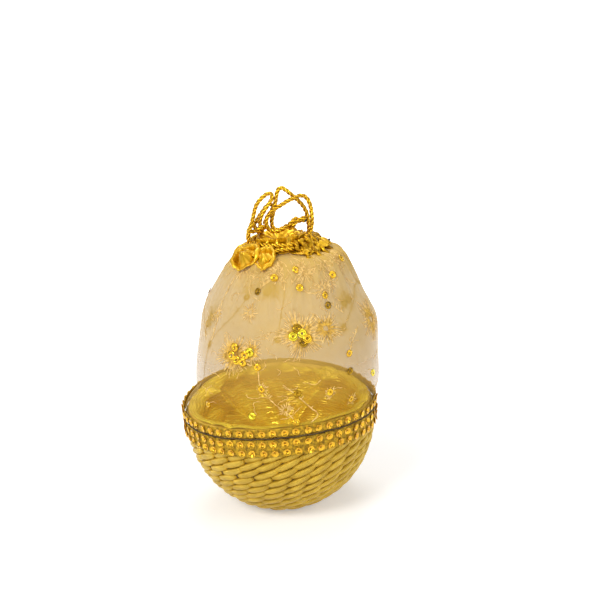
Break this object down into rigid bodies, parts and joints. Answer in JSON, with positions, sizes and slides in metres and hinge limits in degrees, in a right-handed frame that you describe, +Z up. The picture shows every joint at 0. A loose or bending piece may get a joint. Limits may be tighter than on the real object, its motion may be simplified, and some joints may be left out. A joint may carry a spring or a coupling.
{
  "type": "potli bag",
  "caption": "Round drawstring pouch with a woven basket base and a gathered sheer top, closed by two twisted cords.",
  "frame": {"origin": "centre of the flat base", "axes": "+Z up through the neck, -Y towards the viewer, +X to the viewer's right"},
  "size_m": [0.1618, 0.1588, 0.26],
  "materials": {
    "woven_strip": "gold tissue on flat strips",
    "net_pad": "matt net",
    "tissue_lining": "crinkled gold tissue",
    "organza": "sheer",
    "gold_trim": "cup sequins on net",
    "dark_thread": "matt",
    "satin": "glossy satin",
    "twisted_cord": "two-ply twist with a soft shine",
    "sequin_gold": "metallised",
    "embroidery": "silky thread"
  },
  "bodies": {
    "root": {"basket_bowl": "woven_strip", "rim_pad": "net_pad", "bowl_lining": "tissue_lining", "sheer_bag": "organza", "trim_upper": "gold_trim", "trim_lower": "gold_trim", "seam_thread": "dark_thread", "satin_band": "satin", "cord_ring_left": "twisted_cord", "cord_ring_right": "twisted_cord", "strand_left_front": "twisted_cord", "strand_left_back": "twisted_cord", "strand_right_front": "twisted_cord", "strand_right_back": "twisted_cord", "knot_right": "twisted_cord", "knot_left": "twisted_cord", "sequin_01": "sequin_gold", "sequin_02": "sequin_gold", "sequin_03": "sequin_gold", "sequin_04": "sequin_gold", "sequin_05": "sequin_gold", "sequin_06": "sequin_gold", "sequin_07": "sequin_gold", "sequin_08": "sequin_gold", "sequin_09": "sequin_gold", "sequin_10": "sequin_gold", "sequin_11": "sequin_gold", "sequin_12": "sequin_gold", "sequin_13": "sequin_gold", "sequin_14": "sequin_gold", "sequin_15": "sequin_gold", "sequin_16": "sequin_gold", "sequin_17": "sequin_gold", "sequin_18": "sequin_gold", "sequin_19": "sequin_gold", "sequin_20": "sequin_gold", "sequin_21": "sequin_gold", "sequin_22": "sequin_gold", "sequin_23": "sequin_gold", "sequin_24": "sequin_gold", "sequin_25": "sequin_gold", "sequin_26": "sequin_gold", "flower_left": "embroidery", "flower_front": "embroidery", "flower_right": "embroidery", "flower_back_right": "embroidery", "flower_back": "embroidery", "flower_back_left": "embroidery"}
  },
  "joints": []
}
